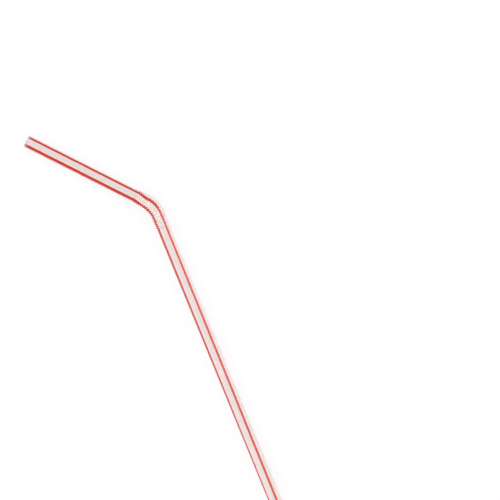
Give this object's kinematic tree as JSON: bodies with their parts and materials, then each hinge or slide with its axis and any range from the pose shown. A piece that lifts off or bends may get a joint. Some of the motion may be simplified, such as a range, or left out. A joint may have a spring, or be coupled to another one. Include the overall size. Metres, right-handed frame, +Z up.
{
  "type": "bendable drinking straw",
  "caption": "Slim plastic drinking straw bent at its folded bellows and lying on its side, with a short mouth leg, a long leg, square open ends and thin red lines along a milky wall.",
  "frame": {"origin": "middle of the bounding box in plan, on the surface that the straw lies on", "axes": "+X along the long leg from its foot end towards the bellows, +Y to the side that the mouth leg bends to, +Z up from the surface, within a degree of square to the plane of the bend, which leans because the bellows is thicker than the tube"},
  "size_m": [0.2288, 0.0402, 0.0058],
  "materials": {
    "straw_wall": "milky polypropylene with four thin red lines along it, satin gloss"
  },
  "bodies": {
    "root": {"straw": "straw_wall"}
  },
  "joints": []
}
